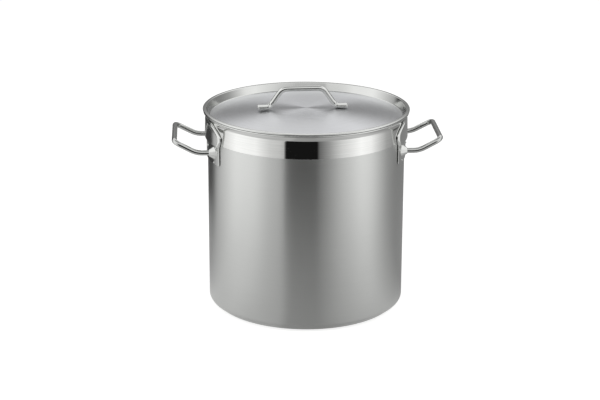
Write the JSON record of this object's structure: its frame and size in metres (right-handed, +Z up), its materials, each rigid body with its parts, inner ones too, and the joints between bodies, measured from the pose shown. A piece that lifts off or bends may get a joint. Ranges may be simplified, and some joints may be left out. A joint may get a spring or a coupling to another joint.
{
  "type": "stock pot",
  "caption": "Tall round steel stock pot with a sandwich base, a flared rim, bar side handles on pressed brackets and a recessed lift-off lid with a bar handle.",
  "frame": {"origin": "middle of the flat face the pot stands on", "axes": "+Z up along the pot's axis, the side handles lie along X"},
  "size_m": [0.4892, 0.3766, 0.4078],
  "materials": {
    "shell_steel": "satin, brushed round the wall, with a mirror band under the rim",
    "lid_steel": "spun, with fine concentric brushing",
    "base_steel": "plain, turned",
    "core_aluminium": "plain",
    "bracket_steel": "pressed and polished",
    "handle_steel": "polished",
    "weld_steel": "polished weld"
  },
  "bodies": {
    "pot": {"pot_shell": "shell_steel", "base_cap": "base_steel", "base_core": "core_aluminium", "side_bracket_left": "bracket_steel", "side_handle_left": "handle_steel", "handle_collar_left_front": "handle_steel", "handle_collar_left_back": "handle_steel", "handle_weld_left_front": "weld_steel", "handle_weld_left_back": "weld_steel", "spot_weld_left_1": "weld_steel", "spot_weld_left_2": "weld_steel", "spot_weld_left_3": "weld_steel", "spot_weld_left_4": "weld_steel", "spot_weld_left_5": "weld_steel", "spot_weld_left_6": "weld_steel", "spot_weld_left_7": "weld_steel", "spot_weld_left_8": "weld_steel", "side_bracket_right": "bracket_steel", "side_handle_right": "handle_steel", "handle_collar_right_front": "handle_steel", "handle_collar_right_back": "handle_steel", "handle_weld_right_front": "weld_steel", "handle_weld_right_back": "weld_steel", "spot_weld_right_1": "weld_steel", "spot_weld_right_2": "weld_steel", "spot_weld_right_3": "weld_steel", "spot_weld_right_4": "weld_steel", "spot_weld_right_5": "weld_steel", "spot_weld_right_6": "weld_steel", "spot_weld_right_7": "weld_steel", "spot_weld_right_8": "weld_steel"},
    "lid": {"lid_pan": "lid_steel", "lid_handle": "handle_steel", "lid_weld_left_inner": "weld_steel", "lid_weld_left_outer": "weld_steel", "lid_weld_right_inner": "weld_steel", "lid_weld_right_outer": "weld_steel"}
  },
  "joints": [
    {"name": "lid_lift", "type": "slide", "parent": "pot", "child": "lid", "axis": [0, 0, 1], "range_m": [0, 0.15]}
  ]
}
